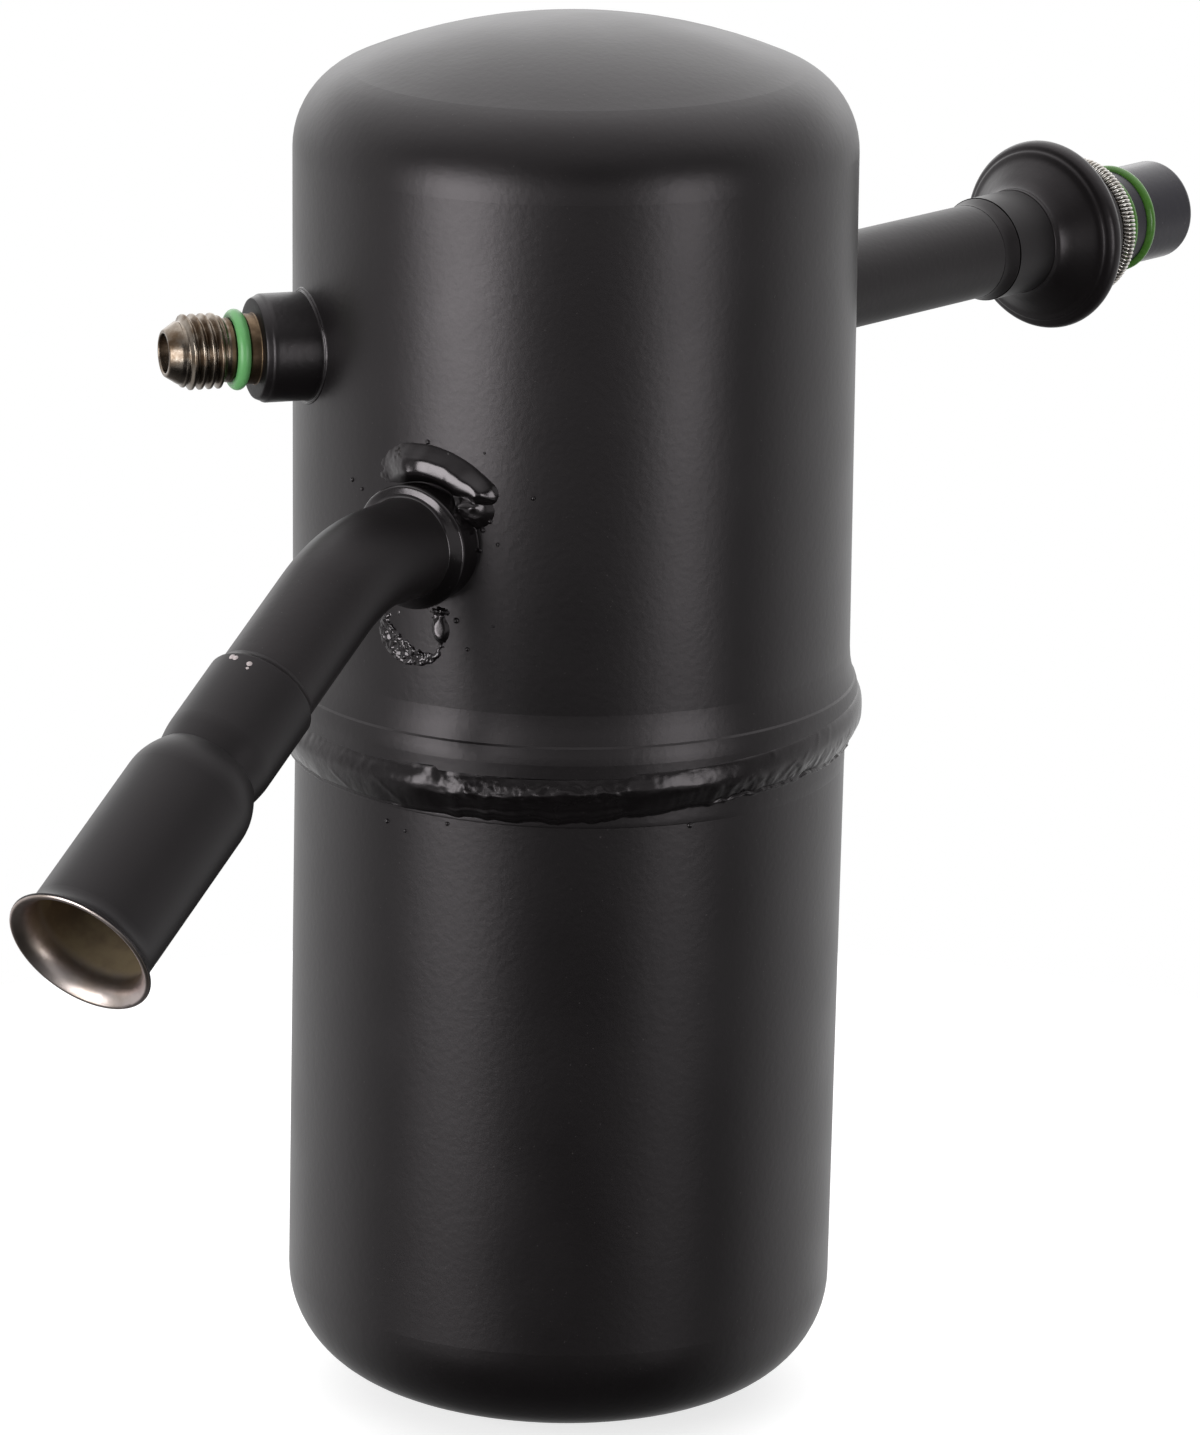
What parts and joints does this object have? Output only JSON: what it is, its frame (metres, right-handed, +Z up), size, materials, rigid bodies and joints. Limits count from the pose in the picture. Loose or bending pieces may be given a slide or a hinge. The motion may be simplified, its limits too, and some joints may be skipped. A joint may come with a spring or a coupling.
{
  "type": "suction line accumulator",
  "caption": "Black painted welded can with a sloping flared inlet tube, a straight outlet pipe with a male quick coupling, and a threaded switch port with a valve pin.",
  "frame": {"origin": "centre of the can's flat base", "axes": "+Z up along the can's axis, +X along the outlet pipe towards its coupling"},
  "size_m": [0.2934, 0.0939, 0.2267],
  "materials": {
    "black_paint": "satin black paint",
    "bare_steel": "turned bare steel, slightly oxidised",
    "spring_steel": "bright spring wire",
    "light_green_rubber": "light green seal",
    "dark_green_rubber": "green seal",
    "brass": "turned brass",
    "seal_rubber": "black seal",
    "white_plastic": "natural nylon",
    "black_plastic": "moulded nylon",
    "fine_mesh": "stainless mesh",
    "felt": "needled felt"
  },
  "bodies": {
    "accumulator": {"lower_shell": "black_paint", "upper_shell": "black_paint", "seam_weld": "black_paint", "inlet_tube": "black_paint", "inlet_weld": "black_paint", "inlet_coupling": "black_paint", "inlet_braze": "black_paint", "outlet_pipe": "black_paint", "outlet_weld": "black_paint", "outlet_coupling": "black_paint", "outlet_braze": "black_paint", "spring_cage": "black_paint", "front_o_ring": "dark_green_rubber", "rear_o_ring": "dark_green_rubber", "garter_spring": "spring_steel", "switch_port": "bare_steel", "port_weld": "black_paint", "port_o_ring": "light_green_rubber", "valve_core": "brass", "valve_gasket": "white_plastic", "valve_spring": "spring_steel", "tube_clip": "bare_steel", "deflector": "white_plastic", "oil_filter": "black_plastic", "filter_screen": "fine_mesh", "desiccant_bag": "felt", "bag_tie": "white_plastic"},
    "valve_pin": {"valve_pin": "bare_steel", "valve_seat": "seal_rubber"}
  },
  "joints": [
    {"name": "valve_pin_press", "type": "slide", "parent": "accumulator", "child": "valve_pin", "axis": [0.866, -0.5, 0], "range_m": [0, 0.0012], "stiffness_N_per_m": 300, "springref_m": -0.002, "deforming": ["valve_spring"]}
  ]
}
